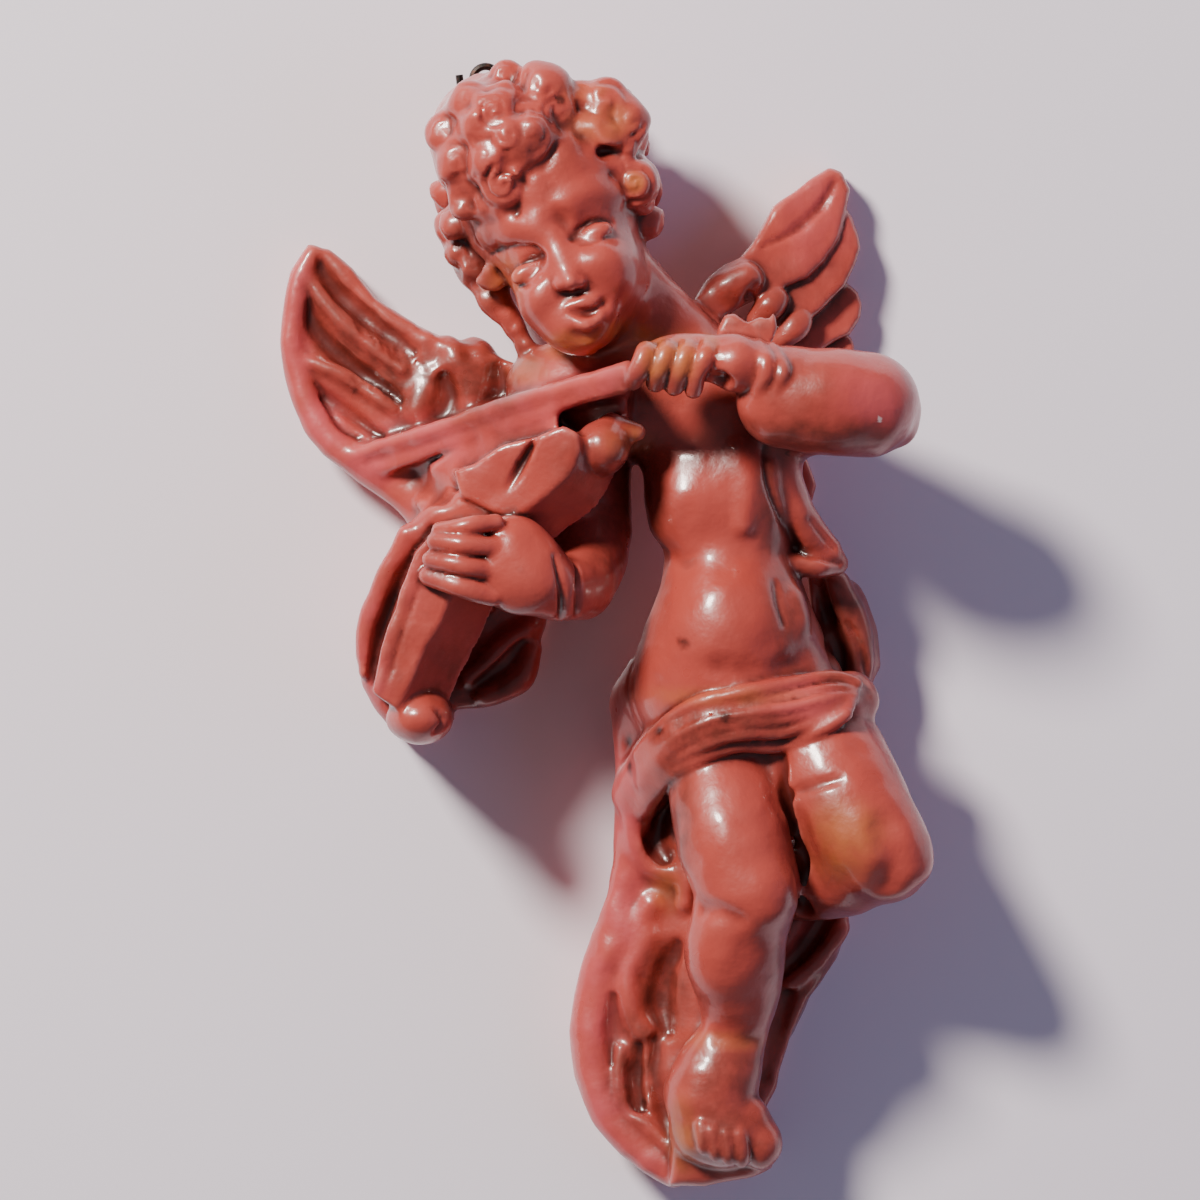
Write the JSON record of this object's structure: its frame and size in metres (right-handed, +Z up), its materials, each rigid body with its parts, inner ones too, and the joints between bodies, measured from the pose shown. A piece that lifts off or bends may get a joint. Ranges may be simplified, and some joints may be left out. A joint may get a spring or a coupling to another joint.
{
  "type": "cherub wall plaque",
  "caption": "Winged infant playing a violin, cast in high relief with a flat back and a wire eye to hang it by.",
  "frame": {"origin": "middle of the wire eye, on the wall plane, where the nail or hook goes", "axes": "+Z up as it hangs, +X to the viewer's right, +Y into the wall; the flat back is the plane y = 0 and the relief stands out towards -Y"},
  "size_m": [0.0953, 0.043, 0.165],
  "materials": {
    "painted_plaster": "gloss paint in brick pink over cast plaster",
    "dark_wire": "soft iron wire, blackened"
  },
  "bodies": {
    "root": {"cherub_casting": "painted_plaster", "hanger_wire": "dark_wire"}
  },
  "joints": []
}
